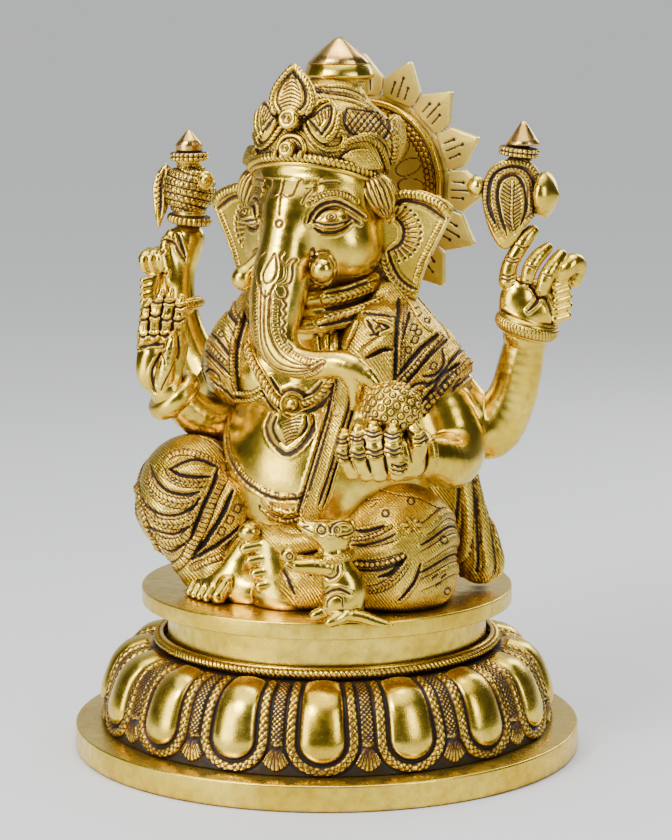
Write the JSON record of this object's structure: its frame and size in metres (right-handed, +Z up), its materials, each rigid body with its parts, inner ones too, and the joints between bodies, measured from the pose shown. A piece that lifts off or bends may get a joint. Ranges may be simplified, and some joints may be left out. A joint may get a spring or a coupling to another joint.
{
  "type": "ganesha idol",
  "caption": "Seated four-armed elephant-headed figure in antique brass on a round lotus pedestal, with a mouse, for a shelf or shrine.",
  "frame": {"origin": "centre of the pedestal's underside, on the surface it stands on", "axes": "+Z up; the figure faces -Y and its own left hand side is +X"},
  "size_m": [0.272, 0.272, 0.3795],
  "materials": {
    "polished_brass": "polished cast brass, lacquered, with faint buffing marks and dark patina in its hollows",
    "antique_brass": "antiqued brass: dark brown patina in the engraving, rubbed bright on the raised parts",
    "steel_hardware": "zinc-plated steel"
  },
  "bodies": {
    "root": {"lotus_drum": "antique_brass", "head": "polished_brass", "torso": "polished_brass", "back_cape": "antique_brass", "mouse_body": "polished_brass", "blessing_hand": "polished_brass", "right_foot": "polished_brass", "seat_plate": "polished_brass", "holding_hand": "polished_brass", "crown_dome": "antique_brass", "left_emblem": "antique_brass", "right_emblem": "antique_brass", "left_rear_arm": "polished_brass", "left_shawl": "antique_brass", "right_rear_arm": "polished_brass", "right_shawl": "antique_brass", "left_leg": "antique_brass", "right_leg": "antique_brass", "left_front_arm": "polished_brass", "foot_plate": "polished_brass", "waist_band": "polished_brass", "bead_ring": "antique_brass", "left_rear_hand": "polished_brass", "right_rear_hand": "polished_brass", "necklace": "antique_brass", "left_foot": "polished_brass", "mouse_collar": "antique_brass", "brow_band": "antique_brass", "halo_ring": "antique_brass", "right_front_arm": "polished_brass", "waist_cloth": "antique_brass", "stud_washer": "steel_hardware", "neck_collar": "antique_brass", "left_hair_tuft": "antique_brass", "sash": "antique_brass", "right_hair_tuft": "antique_brass", "crown_finial": "polished_brass", "right_front_bangle": "antique_brass", "left_rear_bangle": "antique_brass", "right_rear_bangle": "antique_brass", "left_front_bangle": "antique_brass", "left_wing_leaf": "antique_brass", "right_wing_leaf": "antique_brass", "crest_boss": "polished_brass", "sweet_ball": "antique_brass", "halo": "polished_brass", "right_crest_leaf": "antique_brass", "right_tusk": "polished_brass", "left_crest_leaf": "antique_brass", "left_tusk": "polished_brass", "pendant": "antique_brass", "crest_leaf": "antique_brass", "brow_boss": "polished_brass", "mouse_sweet": "antique_brass", "halo_bracket": "polished_brass", "stud_nut": "steel_hardware", "figure_stud": "steel_hardware", "left_ear": "antique_brass", "right_ear": "antique_brass"}
  },
  "joints": []
}
